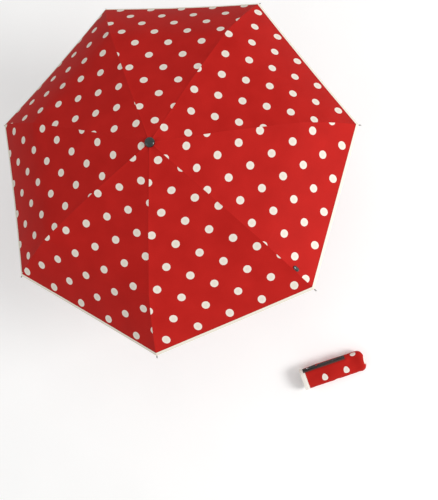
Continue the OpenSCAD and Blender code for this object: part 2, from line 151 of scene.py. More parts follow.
# Printed polyester pongee, plain woven and roller printed: a matte red with
# off-white spots, spots ragged by the thread count, hardly any gloss.
def printed_polyester(name, red, deep, pale, spot, side, radius, white_below=None):
    made, tree, shader = finish_of(name)
    uv = add(tree, "ShaderNodeUVMap", uv_map="print").outputs[0]
    turned = add(tree, "ShaderNodeMapping", {
        "Vector": uv, "Rotation": (0, 0, math.pi / 4), "Scale": (1 / side, 1 / side, 1)})
    axes = add(tree, "ShaderNodeSeparateXYZ", {0: turned.outputs[0]})
    cell = [add(tree, "ShaderNodeMath", {0: add(
        tree, "ShaderNodeMath", {0: axes.outputs[k]}, operation="FRACT").outputs[0], 1: 0.5},
        operation="SUBTRACT").outputs[0] for k in (0, 1)]
    joined = add(tree, "ShaderNodeCombineXYZ", {0: cell[0], 1: cell[1]})
    reach = add(tree, "ShaderNodeVectorMath", {0: joined.outputs[0]}, operation="LENGTH")
    # threads 0.25 mm across pull the print's edge about, drawn at 1.6 mm to show
    fray = add(tree, "ShaderNodeTexNoise", {"Vector": uv, "Scale": 1 / (1.6 * MM), "Detail": 2.0})
    pull = add(tree, "ShaderNodeMath", {
        0: fray.outputs[0], 1: 1.5 * MM / side, 2: -0.75 * MM / side}, operation="MULTIPLY_ADD")
    ragged = add(tree, "ShaderNodeMath", {0: reach.outputs["Value"], 1: pull.outputs[0]})
    edge = add(tree, "ShaderNodeMapRange", {
        "Value": ragged.outputs[0], "From Min": (radius + 0.35 * MM) / side,
        "From Max": (radius - 0.35 * MM) / side})
    mask = edge.outputs[0]
    if white_below is not None:
        along = add(tree, "ShaderNodeSeparateXYZ", {0: uv}).outputs[0]
        comb = add(tree, "ShaderNodeTexNoise", {
            "Vector": uv, "Scale": 1 / (1.1 * MM), "Detail": 1.0})
        torn = add(tree, "ShaderNodeMath", {
            0: comb.outputs[0], 1: 3.4 * MM, 2: along}, operation="MULTIPLY_ADD")
        band = add(tree, "ShaderNodeMapRange", {
            "Value": torn.outputs[0], "From Min": white_below + 1.9 * MM,
            "From Max": white_below + 1.5 * MM})
        mask = add(tree, "ShaderNodeMath", {0: mask, 1: band.outputs[0]},
                   operation="MAXIMUM").outputs[0]
    # slow drift of the dye, about 60 mm across
    drift = add(tree, "ShaderNodeTexNoise", {"Vector": uv, "Scale": 1 / (60 * MM), "Detail": 2.0})
    dye = add(tree, "ShaderNodeValToRGB", {0: drift.outputs[0]},
              stops=[(0.3, linear(deep)), (0.7, linear(red))])
    # the spot's middle takes a little less ink
    ink = add(tree, "ShaderNodeValToRGB", {0: add(tree, "ShaderNodeMath", {
        0: reach.outputs["Value"], 1: side / radius}, operation="MULTIPLY").outputs[0]},
        stops=[(0.25, linear(spot)), (0.9, linear(pale))])
    colour = add(tree, "ShaderNodeMix", {0: mask, 6: dye.outputs[0], 7: ink.outputs[0]},
                 data_type="RGBA")
    # plain weave of 0.25 mm threads, drawn at 1 mm so that it shows
    ends = add(tree, "ShaderNodeTexWave", {
        "Vector": uv, "Scale": 1 / (TWO_THREADS * MM), "Distortion": 0.6}, bands_direction="X")
    picks = add(tree, "ShaderNodeTexWave", {
        "Vector": uv, "Scale": 1 / (TWO_THREADS * MM), "Distortion": 0.6}, bands_direction="Y")
    weave = add(tree, "ShaderNodeMath", {0: ends.outputs["Fac"], 1: picks.outputs["Fac"]})
    # the colour is darkened in the weave's hollows and lightened on its crowns: painted shade and
    # painted highlight
    shade = add(tree, "ShaderNodeMapRange", {
        "Value": weave.outputs[0], "From Max": 2.0, "To Min": 0.93, "To Max": 1.04})
    woven = add(tree, "ShaderNodeMix", {
        0: 1.0, 6: colour.outputs[2], 7: shade.outputs[0]}, data_type="RGBA", blend_type="MULTIPLY")
    bump = add(tree, "ShaderNodeBump", {
        "Height": weave.outputs[0], "Strength": 0.16, "Distance": 0.12 * MM})
    rough = add(tree, "ShaderNodeMapRange", {
        "Value": drift.outputs[0], "To Min": 0.62, "To Max": 0.78})
    set_finish(tree, shader, {
        "Specular IOR Level": 0.08},
        Base_Color=woven.outputs[2], Roughness=rough.outputs[0], Normal=bump.outputs[0])
    return made


# Woven polyester tape: ribbed across, matte, with a lockstitch along one side.
def ribbed_tape(name, colour, dark, rib, stitch_at=None, thread="#F2EEE2", rough=0.8):
    made, tree, shader = finish_of(name)
    uv = add(tree, "ShaderNodeUVMap", uv_map="print").outputs[0]
    ribs = add(tree, "ShaderNodeTexWave", {
        "Vector": uv, "Scale": 1 / (TWO_THREADS * rib), "Distortion": 0.8, "Detail": 1.0})
    fuzz = add(tree, "ShaderNodeTexNoise", {"Vector": uv, "Scale": 1 / (0.9 * MM), "Detail": 3.0})
    uneven = add(tree, "ShaderNodeMath", {0: ribs.outputs["Fac"], 1: fuzz.outputs[0]})
    half = add(tree, "ShaderNodeMath", {0: uneven.outputs[0], 1: 0.5}, operation="MULTIPLY")
    # the colour runs dark in the ribs' grooves and light on their tops, painted shade and painted
    # highlight; the fibres' fuzz adds real tone
    base = add(tree, "ShaderNodeValToRGB", {0: half.outputs[0]},
               stops=[(0.15, linear(dark)), (0.7, linear(colour))])
    tape_colour_with_rib_shade = base.outputs[0]
    height = half.outputs[0]
    if stitch_at is not None:
        axes = add(tree, "ShaderNodeSeparateXYZ", {0: uv})
        off = add(tree, "ShaderNodeMath", {0: axes.outputs[1], 1: stitch_at}, operation="SUBTRACT")
        near = add(tree, "ShaderNodeMath", {0: off.outputs[0]}, operation="ABSOLUTE")
        line = add(tree, "ShaderNodeMapRange", {
            "Value": near.outputs[0], "From Min": 0.45 * MM, "From Max": 0.25 * MM})
        # stitches 2.6 mm long with 0.6 mm between them
        beat = add(tree, "ShaderNodeMath", {0: add(tree, "ShaderNodeMath", {
            0: axes.outputs[0], 1: 1 / (3.2 * MM)}, operation="MULTIPLY").outputs[0]},
            operation="FRACT")
        dash = add(tree, "ShaderNodeMath", {0: beat.outputs[0], 1: 0.8}, operation="LESS_THAN")
        sewn = add(tree, "ShaderNodeMath", {0: line.outputs[0], 1: dash.outputs[0]},
                   operation="MULTIPLY")
        tape_colour_with_rib_shade = add(tree, "ShaderNodeMix", {0: sewn.outputs[0], 6: tape_colour_with_rib_shade, 7: linear(thread)},
                    data_type="RGBA").outputs[2]
        height = add(tree, "ShaderNodeMath", {0: height, 1: sewn.outputs[0]}).outputs[0]
    bump = add(tree, "ShaderNodeBump", {"Height": height, "Strength": 0.5, "Distance": 0.25 * MM})
    grain = add(tree, "ShaderNodeMapRange", {
        "Value": fuzz.outputs[0], "To Min": rough - 0.08, "To Max": rough + 0.08})
    set_finish(tree, shader, {"Specular IOR Level": 0.3, "Sheen Weight": 0.15},
               Base_Color=tape_colour_with_rib_shade, Roughness=grain.outputs[0], Normal=bump.outputs[0])
    return made


# Moulded plastic: an even colour with a fine moulded grain and faint handling marks.
def moulded(name, colour, dark, rough, grain_mm, grain_height, coat=0.0):
    made, tree, shader = finish_of(name)
    place = add(tree, "ShaderNodeTexCoord").outputs["Object"]
    grain = add(tree, "ShaderNodeTexNoise", {
        "Vector": place, "Scale": 1 / (grain_mm * MM), "Detail": 3.0})
    cloud = add(tree, "ShaderNodeTexNoise", {
        "Vector": place, "Scale": 1 / (14 * MM), "Detail": 4.0})
    tone = add(tree, "ShaderNodeValToRGB", {0: cloud.outputs[0]},
               stops=[(0.35, linear(dark)), (0.7, linear(colour))])
    uneven = add(tree, "ShaderNodeMapRange", {
        "Value": cloud.outputs[0], "From Min": 0.3, "From Max": 0.75,
        "To Min": rough * 0.8, "To Max": min(1.0, rough * 1.35)})
    bump = add(tree, "ShaderNodeBump", {
        "Height": grain.outputs[0], "Strength": 0.25, "Distance": grain_height * MM})
    set_finish(tree, shader, {"IOR": 1.5, "Coat Weight": coat, "Coat Roughness": 0.08},
               Base_Color=tone.outputs[0], Roughness=uneven.outputs[0], Normal=bump.outputs[0])
    return made


# Metal: drawn or pressed, then plated; fine draw lines along the shaft's axis
# stretch the highlights, and thin plating clouds them.
def plated(name, bright, dull, rough, stretch):
    made, tree, shader = finish_of(name)
    place = add(tree, "ShaderNodeTexCoord").outputs["Object"]
    drawn = add(tree, "ShaderNodeMapping", {"Vector": place, "Scale": stretch})
    lines = add(tree, "ShaderNodeTexNoise", {
        "Vector": drawn.outputs[0], "Scale": 1 / (0.8 * MM), "Detail": 2.0})
    cloud = add(tree, "ShaderNodeTexNoise", {"Vector": place, "Scale": 1 / (9 * MM), "Detail": 4.0})
    tone = add(tree, "ShaderNodeValToRGB", {0: cloud.outputs[0]},
               stops=[(0.3, linear(dull)), (0.65, linear(bright))])
    uneven = add(tree, "ShaderNodeMapRange", {
        "Value": cloud.outputs[0], "From Min": 0.3, "From Max": 0.7,
        "To Min": rough * 1.5, "To Max": rough})
    bump = add(tree, "ShaderNodeBump", {
        "Height": lines.outputs[0], "Strength": 0.12, "Distance": 0.05 * MM})
    set_finish(tree, shader, {"Metallic": 1.0},
               Base_Color=tone.outputs[0], Roughness=uneven.outputs[0], Normal=bump.outputs[0])
    return made


CANOPY_SIDE = 54.4 * MM
SPOT_R = 8.7 * MM
cloth = printed_polyester(
    "printed polyester pongee", "#BA201B", "#B01B16", "#E9E2D6", "#DFD6C8", CANOPY_SIDE, SPOT_R)
# the underside takes the same print painted darker all over: painted shade for the side under the
# canopy
shaded_cloth_back = printed_polyester(
    "pongee seen from behind, darkened as painted shade", "#9C1A15", "#931712", "#CFC3B6", "#C2B6A9", CANOPY_SIDE, SPOT_R)
sleeve_cloth = printed_polyester(
    "printed polyester sleeve", "#BE221C", "#B01C17", "#F0EAE0", "#E6DFD4",
    45.3 * MM, 8.2 * MM, white_below=14 * MM)
lining = ribbed_tape("coated sleeve lining", "#8F8A68", "#6F6B50", 0.8 * MM, rough=0.6)
binding_tape = ribbed_tape(
    "cream grosgrain binding", "#F1EBDD", "#D8D0BE", 0.7 * MM, stitch_at=1.4 * MM)
webbing = ribbed_tape(
    "black nylon webbing", "#26262A", "#0B0B0D", 0.9 * MM, rough=0.72)
webbing_sewn = ribbed_tape(
    "webbing bar tack", "#2B2B2F", "#0C0C0E", 0.5 * MM, stitch_at=4 * MM, thread="#1A1A1C")
hem_cloth = ribbed_tape(
    "white sleeve hem", "#F0ECE4", "#E2DDD2", 0.35 * MM, stitch_at=9.2 * MM, thread="#FFFFFF")
zip_cloth = ribbed_tape("zip tape", "#4A4540", "#2A2724", 0.6 * MM, stitch_at=1.6 * MM,
                        thread="#8E2A24")
tie_cloth = ribbed_tape("red closure strap", "#B5211C", "#8E1814", 0.6 * MM, stitch_at=2 * MM,
                        thread="#D9564E")
gloss_black = moulded("gloss black ABS handle", "#121214", "#0A0A0B", 0.16, 1.2, 0.01, coat=0.3)
nylon_black = moulded("moulded black nylon", "#1D1D20", "#111113", 0.42, 0.7, 0.04)
tip_nylon = moulded("moulded grey nylon tip", "#A9A9A4", "#8C8C87", 0.4, 0.6, 0.03)
cap_plastic = moulded("dark green-grey ABS cap", "#2C3836", "#1C2523", 0.26, 1.0, 0.02, coat=0.25)
red_inlay = moulded("red moulded inlay", "#D8171C", "#B81116", 0.22, 1.0, 0.01, coat=0.4)
soft_grey = moulded("satin grey rubber", "#3A3D3E", "#27292A", 0.48, 0.5, 0.05)
tie_thread = moulded("red sewing thread", "#A81C18", "#7E120F", 0.8, 0.4, 0.2)
bright_tube = plated("nickel plated steel tube", "#D6D7D9", "#C8CACC", 0.17, (1, 1, 0.03))
black_tube = moulded("black enamelled steel tube", "#1A1A1C", "#0E0E10", 0.28, 1.0, 0.02, coat=0.3)
rib_steel = plated("zinc plated rib steel", "#B9BBBD", "#8E9194", 0.3, (1, 1, 1))
rib_wire = plated("drawn spring wire", "#A9ABAE", "#7E8184", 0.26, (1, 1, 1))
zip_metal = plated("gunmetal plated zinc", "#5B5C60", "#3A3B3F", 0.3, (1, 1, 1))
wire_silver = plated("silver plated wire", "#DADBDC", "#B4B6B8", 0.2, (1, 1, 1))

# ---- finishes of the CAD nodes that stay as they are ----
kept = {
    "handle_shell": gloss_black, "handle_cap": gloss_black, "handle_inlay": red_inlay,
    "strap_pin": rib_steel, "lower_tube": bright_tube, "middle_tube": bright_tube,
    "upper_tube": black_tube, "runner_catch": rib_steel, "runner": nylon_black,
    "runner_wire": rib_wire, "crown": nylon_black, "crown_wire": rib_wire,
    "top_cap": cap_plastic,
}
for i in range(1, RIBS + 1):
    kept[f"top_rib_{i}"] = kept[f"mid_rib_{i}"] = kept[f"stretcher_{i}"] = rib_steel
    kept[f"outer_rib_{i}"] = rib_wire
    kept[f"rib_tip_{i}"] = tip_nylon
for name, finish in kept.items():
    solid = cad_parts[name]
    solid.data.materials.clear()
    solid.data.materials.append(finish)


# ---- camera ----
forward = Vector((-0.0045, 0.2091, -0.9779)).normalized()
right = forward.cross(Vector((0.7525, 0.6447, 0.1344))).normalized()
upward = right.cross(forward)
lens = bpy.data.cameras.new("main view")
lens.lens = 41.83
lens.sensor_width = 36
lens.clip_start = 0.05
eye = bpy.data.objects.new("main view", lens)
bpy.context.scene.collection.objects.link(eye)
eye.matrix_world = Matrix.Translation((-0.0685, -0.5066, 1.6060)) @ Matrix(
    (right, upward, -forward)).transposed().to_4x4()
bpy.context.scene.camera = eye


# ---- cloth of the canopy ----
def rib_fall(r):
    """Fall of a rib's pivot line below the crown's hinge at radius r."""
    if r < J1_R:
        return (r - CROWN_HINGE_R) * math.tan(TOP_SLOPE)
    if r < J2_R:
        return J1_FALL + (r - J1_R) * math.tan(MID_SLOPE)
    inner = r - J2_R + ARC_R * math.sin(SLOPE_A)
    return J2_FALL + ARC_R * math.cos(SLOPE_A) - math.sqrt(ARC_R**2 - inner**2)


def cloth_fall(r):
    """Fall of the cloth's underside at radius r."""
    brim, foot, peak = 11.5 * MM, 40 * MM, -3.0 * MM
    if r < brim:
        return peak
    if r < foot:
        t = (r - brim) / (foot - brim)
        return (1 - t) * peak + t * (rib_fall(foot) - TOP_LEVEL)
    return rib_fall(r) - TOP_LEVEL / math.cos(TOP_SLOPE)


def smooth_fall(r, window):
    """The fall averaged over a window, so that the cloth rounds a rib's joint."""
    steps = (-1, -0.5, 0, 0.5, 1)
    weights = (0.12, 0.24, 0.28, 0.24, 0.12)
    return sum(w * cloth_fall(min(CORNER_R + 0.02, max(0.0, r + s * window)))
               for s, w in zip(steps, weights))


# Length of cloth from the rim up a gore's middle, by radius of the station
STEPS = 400
drop_table = [0.0]
for k in range(STEPS):
    r = CORNER_R * (1 - (k + 0.5) / STEPS)
    slope = (cloth_fall(r + 0.5 * MM) - cloth_fall(r - 0.5 * MM)) / MM
    drop_table.append(drop_table[-1] + CORNER_R / STEPS * math.hypot(math.cos(HALF), slope))


def up_from_rim(r):
    """Length of cloth from the rim to radius r, read from the table."""
    place = (1 - r / CORNER_R) * STEPS
    if place <= 0:
        return (place / STEPS) * CORNER_R
    low = min(int(place), STEPS - 1)
    return drop_table[low] + (place - low) * (drop_table[low + 1] - drop_table[low])


# How far the print is drawn out towards the rim, in mm, every 40 mm up a gore's middle
DRAWN = [12.2, 2.2, -2.8, -5.4, -6.1, -4.2, -2.9, -0.9, 2.6, 8.8, 13.0, 17.0, 20.0]
DRAWN_STEP = 40 * MM
ACROSS_SCALE = 0.988


def stretched(up):
    """Length up from the rim as the print has it: the cloth is drawn out near rim and crown."""
    place = min(max(up / DRAWN_STEP, 0), len(DRAWN) - 1.001)
    low = int(place)
    return up + MM * (DRAWN[low] + (place - low) * (DRAWN[low + 1] - DRAWN[low]))


# Where each gore's print sits against its rim: no two gores are cut alike
PRINT_SHIFT = [(75.7, 2.0), (23.7, 1.7), (27.1, 43.7), (42.5, 54.5), (12.5, 22.0),
               (74.6, 56.7), (59.6, 45.1)]
BILLOW = 5.5 * MM
SEAM_W = 2.4 * MM
SEAM_UP = 0.35 * MM


def on_cloth(rib, side, x, y, lift):
    """A point of the cloth and its place in the print. x runs out along the rib, y to its side."""
    station = x + y * math.tan(HALF)
    between = y / (2 * x * math.tan(HALF))
    spread = 4 * between * (1 - between)
    gore = (rib if side > 0 else rib - 1) % RIBS
    across = side * (y * math.cos(HALF) - x * math.sin(HALF))
    up = up_from_rim(station)
    hollow = BILLOW * (station / CORNER_R) ** 1.3 * spread
    ripple = noise.noise(Vector((across / 0.055, up / 0.14, 3.7 * gore))) * 0.9 * MM
    pull = noise.noise(Vector((across / 0.02, up / 0.2, 9.1 * gore + 4))) * 0.35 * MM
    z = CROWN_Z - smooth_fall(station, (4 + 26 * spread) * MM)
    z += lift - hollow + (ripple + pull) * spread * min(1.0, station / 0.1)
    angle = -math.pi / 2 + (rib - 1) * PITCH
    turn = Matrix.Rotation(angle, 3, "Z")
    shift = PRINT_SHIFT[gore]
    place = (across * ACROSS_SCALE + shift[0] * MM, stretched(up) + shift[1] * MM)
    return turn @ Vector((x, side * y, z)), place


def grid_piece(name, rows, flip, finishes, thickness, offset=-1.0, merge=False):
    """A sheet through rows of (point, place in the print), given its thickness."""
    points = [p for row in rows for p, _ in row]
    places = [u for row in rows for _, u in row]
    n = len(rows[0])
    faces = []
    for a in range(len(rows) - 1):
        for b in range(n - 1):
            face = (a * n + b, (a + 1) * n + b, (a + 1) * n + b + 1, a * n + b + 1)
            faces.append(face[::-1] if flip else face)
    mesh = bpy.data.meshes.new(name)
    mesh.from_pydata(points, [], faces)
    layer = mesh.uv_layers.new(name="print")
    for loop in mesh.loops:
        layer.data[loop.index].uv = places[loop.vertex_index]
    if merge:
        shape = bmesh.new()
        shape.from_mesh(mesh)
        bmesh.ops.remove_doubles(shape, verts=shape.verts, dist=0.01 * MM)
        shape.to_mesh(mesh)
        shape.free()
    for finish in finishes:
        mesh.materials.append(finish)
    area = sum(f.area for f in mesh.polygons)
    made = bpy.data.objects.new(name, mesh)
    bpy.context.scene.collection.objects.link(made)
    bpy.ops.object.select_all(action="DESELECT")
    made.select_set(True)
    bpy.context.view_layer.objects.active = made
    thick = made.modifiers.new("cloth", "SOLIDIFY")
    thick.thickness = thickness
    thick.offset = offset
    thick.material_offset = len(finishes) - 1
    bpy.ops.object.modifier_apply(modifier=thick.name)
    bpy.ops.object.shade_smooth_by_angle(angle=math.radians(50))
    return made, area


CUT_1 = 0.05 * math.tan(HALF)
CUT_2 = 0.25 * math.tan(HALF)
RIM_CUT = math.tan(HALF) ** 2
SIDE_COLUMNS = 11
ZONES = [
    ("top", 20, lambda v: 8 * MM, lambda v: J1_R / (1 + CUT_1 * v)),
    ("mid", 20, lambda v: J1_R / (1 + CUT_1 * v), lambda v: J2_R / (1 + CUT_2 * v)),
    ("outer", 18, lambda v: J2_R / (1 + CUT_2 * v), lambda v: CORNER_R / (1 + RIM_CUT * v)),
]


def column_y(x, v, k):
    """How far to the side of its rib a column of the sheet runs, seams first."""
    full = x * math.tan(HALF)
    seam = min(SEAM_W, 0.12 * full)
    if k < 3:
        return seam * k / 2
    return seam + (full - seam) * (k - 2) / SIDE_COLUMNS


for rib in range(1, RIBS + 1):
    for side, hand in ((1, "left"), (-1, "right")):
        for zone, count, start, end in ZONES:
            rows = []
            for a in range(count + 1):
                row = []
                for k in range(SIDE_COLUMNS + 3):
                    v = max(0, k - 2) / SIDE_COLUMNS
                    x = start(v) + (end(v) - start(v)) * a / count
                    y = column_y(x, v, k)
                    if zone == "outer" and a == count:
                        x = CORNER_R - y * math.tan(HALF)
                    seam = SEAM_UP * (1, 0.75, 0)[k] if k < 3 else 0
                    row.append(on_cloth(rib, side, x, y, CLOTH_TOP + CLOTH_GAP + seam))
                rows.append(row)
            name = f"cloth_{zone}_{rib}_{hand}"
            piece, area = grid_piece(name, rows, side < 0, [cloth, shaded_cloth_back], 0.45 * MM)
            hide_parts("canopy")
            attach(piece, f"{zone}_rib_{rib}")
            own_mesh(piece)

        # binding folded round the rim, in one half gore's length
        fold = [(BINDING_IN, 0.42), (3.5, 0.45), (0.8, 0.45), (-0.25, 0.2), (-0.3, -0.3),
                (0.8, -0.75), (3.5, -0.75), (BINDING_IN, -0.7)]
        rows = []
        for a in range(25):
            v = a / 24
            row = []
            walked = 0.0
            for k, (inward, up) in enumerate(fold):
                x = (CORNER_R - inward * MM) / (1 + RIM_CUT * v)
                y = max(1e-5, v * x * math.tan(HALF))
                point, place = on_cloth(rib, side, x, y, CLOTH_TOP + CLOTH_GAP + up * MM)
                if k:
                    walked += (point - row[-1][0]).length
                row.append((point, (place[0], walked)))
            rows.append(row)
        tape, area = grid_piece(f"binding_{rib}_{hand}", rows, side > 0, [binding_tape],
                                0.3 * MM, offset=0.0)
        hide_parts("rim_binding")
        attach(tape, f"outer_rib_{rib}")
        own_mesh(tape)


# ---- webbing ----
def strip(name, path, across, width, finish, thickness, closed=False):
    """A flat strap along a path of points; across gives its width's direction."""
    rows, walked = [], 0.0
    line = path + path[:1] if closed else path
    for k, point in enumerate(line):
        if k:
            walked += (point - line[k - 1]).length
        rows.append([(point + across * width * (share - 0.5), (walked, width * share))
                     for share in (0, 0.25, 0.5, 0.75, 1)])
    return grid_piece(name, rows, False, [finish], thickness, offset=0.0, merge=closed)


def strap_path(radius_up, radius_low):
    """The loop of the wrist strap's middle line, round its pin and round its lowest bend."""
    high = Vector((STRAP_X, 0, PIN_Z))
    low = Vector((STRAP_X + STRAP_SWING, 0, BEND_Z))
    run = low - high
    lean = math.atan2(run.z, run.x)
    beta = math.acos((radius_up - radius_low) / run.length)
    points = []
    for centre, radius, a0, a1, count in (
            (low, radius_low, beta, -beta, 40),
            (high, radius_up, -beta, beta - 2 * math.pi, 24)):
        for k in range(count + 1):
            a = lean + a0 + (a1 - a0) * k / count
            points.append(centre + Vector((math.cos(a), 0, math.sin(a))) * radius)
    return points


def evened(points, step):
    """The same closed line with points about one step apart."""
    out = []
    for k, point in enumerate(points):
        nxt = points[(k + 1) % len(points)]
        count = max(1, round((nxt - point).length / step))
        out += [point.lerp(nxt, j / count) for j in range(count)]
    return out


loop_line = evened(strap_path(PIN_R + STRAP_T / 2, BEND_R - STRAP_T / 2), 4 * MM)
strap, _ = strip("wrist_strap_webbing", loop_line, Vector((0, 1, 0)), STRAP_W, webbing,
                 STRAP_T, closed=True)
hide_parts("wrist_strap")
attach(strap, "handle")

lap_line = [p + Vector((1.15 * MM, 0, 0)) for p in loop_line
            if p.x > STRAP_X + 3 * MM and -62 * MM < p.z < -38 * MM]
lap, _ = strip("strap_lap", lap_line, Vector((0, 1, 0)), STRAP_W, webbing_sewn, 0.9 * MM)
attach(lap, "handle")

# ---- the sleeve ----
on_floor = Matrix.Translation(SLEEVE_MOUTH) @ Matrix.Rotation(SLEEVE_TURN, 4, "Z")
on_zip = on_floor @ Matrix.Translation((0, SLEEVE_SIDE, SLEEVE_R)) @ Matrix.Rotation(
    -ZIP_LEAN, 4, "X") @ Matrix.Translation((0, 0, SLEEVE_R))
ZIP_TURN = (math.pi - ZIP_LEAN) / (2 * math.pi)
FRONT_TURN = 0.6
AROUND = 72
END_ROUND = 21 * MM


def round_section(turn, grow):
    """A point of the sleeve's section, its turn counted round from underneath."""
    a = turn * 2 * math.pi - math.pi / 2
    side = SLEEVE_SIDE * math.tanh(3.2 * math.cos(a))
    radius = SLEEVE_R + grow
    return Vector((0, side + radius * math.cos(a), SLEEVE_R + radius * math.sin(a)))


def sleeve_point(s, turn, grow):
    """A point of the sleeve's cloth and its place in the print."""
    a = turn * 2 * math.pi
    # long soft creases along the sleeve and short puckers beside the zip
    crease = noise.noise(Vector((s / 0.075, 1.6 * math.cos(a), 1.6 * math.sin(a))))
    crease += 0.5 * noise.noise(Vector((s / 0.028 + 7, 2.6 * math.cos(a), 2.6 * math.sin(a))))
    calm = min(1.0, s / (25 * MM)) * (0.35 + 0.65 * min(1.0, (SLEEVE_L - s) / (30 * MM)))
    under = 1 - math.exp(-((a / 0.9) ** 2)) if a < math.pi else 1 - math.exp(
        -(((2 * math.pi - a) / 0.9) ** 2))
    dent = (-1.1 * MM + 1.5 * MM * crease) * calm * under
    # beside the zip the cloth is held up against the tape
    beside = abs(turn - ZIP_TURN) * 2 * math.pi * SLEEVE_R
    held = min(1.0, max(0.0, (15 * MM - beside) / (6 * MM)))
    held *= min(1.0, max(0.0, (ZIP_START + ZIP_L + 14 * MM - s) / (12 * MM)))
    held = held * held * (3 - 2 * held)
    at = round_section(turn, grow + dent * (1 - held) + 0.75 * MM * held)
    left = SLEEVE_L - s
    close = 1.0
    if left < END_ROUND:
        close = max(0.0, 1 - (1 - left / END_ROUND) ** 2.6) ** (1 / 2.6)
    middle = Vector((0, 0, SLEEVE_R * 0.95))
    at = middle + (at - middle) * close
    length = 2 * math.pi * SLEEVE_R + 4 * SLEEVE_SIDE
    # the closed end is gathered, so its print narrows with it towards the front
    across = (FRONT_TURN + (turn - FRONT_TURN) * close) * length
    return on_floor @ Vector((s, at.y, at.z)), (s + END_ROUND * (1 - close) * 0.5, across)


body_rows = []
stations = [k / 40 * (SLEEVE_L - END_ROUND) for k in range(41)]
stations += [SLEEVE_L - END_ROUND * (1 - math.sin(k / 10 * math.pi / 2)) for k in range(1, 10)]
stations += [SLEEVE_L]
for s in stations:
    body_rows.append([sleeve_point(max(s, 0.4 * MM), k / AROUND, -0.5 * MM)
                      for k in range(AROUND + 1)])
bag, bag_area = grid_piece("sleeve_shell", body_rows, True, [sleeve_cloth, lining], 0.7 * MM,
                           merge=True)
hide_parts("sleeve_body")
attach(bag, "sleeve")

# hem: cloth turned over the mouth's edge, outside and in
hem_fold = [(HEM_W, 0.3), (10.4, 0.55), (6.0, 0.6), (1.5, 0.6), (0.35, 0.4), (0.0, -0.3),
            (0.35, -1.3), (2.0, -1.75), (7.0, -1.8), (10.5, -1.75)]
hem_rows = []
for k in range(AROUND + 1):
    row, walked = [], 0.0
    for j, (s, grow) in enumerate(hem_fold):
        point, place = sleeve_point(max(0.0, s * MM), k / AROUND, (grow - 0.5) * MM)
        if j:
            walked += (point - row[-1][0]).length
        row.append((point, (place[1], HEM_W * MM - walked if s > 0 and j < 5 else walked)))
    hem_rows.append(row)
hem, hem_area = grid_piece("sleeve_hem_band", hem_rows, True, [hem_cloth], 0.3 * MM, offset=0.0,
                           merge=True)
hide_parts("sleeve_hem")
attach(hem, "sleeve")


def zip_point(s, arc, up):
    """A point on the sleeve's shoulder beside the zip's middle line, arc measured round it."""
    a = arc / SLEEVE_R
    radius = SLEEVE_R + up
    return on_zip @ Vector((s, radius * math.sin(a), radius * math.cos(a) - SLEEVE_R))


tape_rows = []
for k in range(41):
    s = ZIP_START + ZIP_L * k / 40
    tape_rows.append([(zip_point(s, (c / 8 - 0.5) * TAPE_W, 0.75 * MM), (s, c / 8 * TAPE_W))
                      for c in range(9)])
tape, tape_area = grid_piece("zip_tape_cloth", tape_rows, True, [zip_cloth], 0.5 * MM)
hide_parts("zip_tape")
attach(tape, "sleeve")


# ---- small hard pieces, modelled one by one ----
def begin():
    """Deselects everything, because an operator acts on all that is selected."""
    bpy.ops.object.select_all(action="DESELECT")


def edit():
    """Starts editing the new primitive by its faces."""
    bpy.ops.object.mode_set(mode="EDIT")
    bpy.ops.mesh.select_mode(type="FACE")


def pick(kind, wanted):
    """Selects the edges or faces of the mesh in edit mode for which wanted is true."""
    shape = bmesh.from_edit_mesh(bpy.context.edit_object.data)
    bpy.ops.mesh.select_all(action="DESELECT")
    bpy.ops.mesh.select_mode(type=kind)
    for item in (shape.edges if kind == "EDGE" else shape.faces):
        if wanted(item):
            item.select_set(True)
    shape.select_flush_mode()
    bmesh.update_edit_mesh(bpy.context.edit_object.data)


def upright(edge):
    """Whether an edge stands along Z."""
    a, b = (v.co for v in edge.verts)
    return abs(a.x - b.x) < 1e-6 and abs(a.y - b.y) < 1e-6


def settle(name, finish, place, angle=40):
    """Leaves edit mode, names the piece, smooths it and puts its place into its mesh."""
    if bpy.context.mode != "OBJECT":
        bpy.ops.object.mode_set(mode="OBJECT")
    made = bpy.context.object
    bpy.ops.object.transform_apply(location=True, rotation=True, scale=True)
    made.name = made.data.name = name
    made.data.materials.clear()
    made.data.materials.append(finish)
    bpy.ops.object.shade_smooth_by_angle(angle=math.radians(angle))
    made.data.transform(place)
    return made


def joined(name, parts):
    """One piece of several meshes."""
    begin()
    for part in parts:
        part.select_set(True)
    bpy.context.view_layer.objects.active = parts[0]
    bpy.ops.object.join()
    parts[0].name = parts[0].data.name = name
    return parts[0]


def block(size, place, rounding, upright_rounding=0.0):
    """A rounded block: its upright edges first, then all its sharp edges."""
    begin()
    bpy.ops.mesh.primitive_cube_add(size=1, location=place)
    bpy.ops.transform.resize(value=size)
    bpy.ops.object.transform_apply(location=False, rotation=False, scale=True)
    edit()
    if upright_rounding:
        pick("EDGE", upright)
        bpy.ops.mesh.bevel(offset=upright_rounding, segments=6)
    pick("EDGE", lambda e: len(e.link_faces) == 2 and e.calc_face_angle(0) > 0.7)
    bpy.ops.mesh.bevel(offset=rounding, segments=2)


# zip teeth: one moulded tooth, copied down both sides
block((1.0 * MM, 2.3 * MM, 1.1 * MM), (0, 0, 0), 0.22 * MM)
tooth = settle("zip_tooth", zip_metal, Matrix.Identity(4))
teeth = []
TEETH_A_SIDE = 78
for k in range(TEETH_A_SIDE):
    for side in (-1, 1):
        s = ZIP_START + (k + 0.5 + 0.25 * side) * ZIP_L / TEETH_A_SIDE
        one = tooth.copy()
        one.data = tooth.data.copy()
        bpy.context.scene.collection.objects.link(one)
        one.data.transform(on_zip @ Matrix.Translation((s, side * 0.55 * MM, 1.35 * MM)))
        teeth.append(one)
bpy.data.objects.remove(tooth)
rack = joined("zip_teeth", teeth)
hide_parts("zip_coil")
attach(rack, "sleeve")
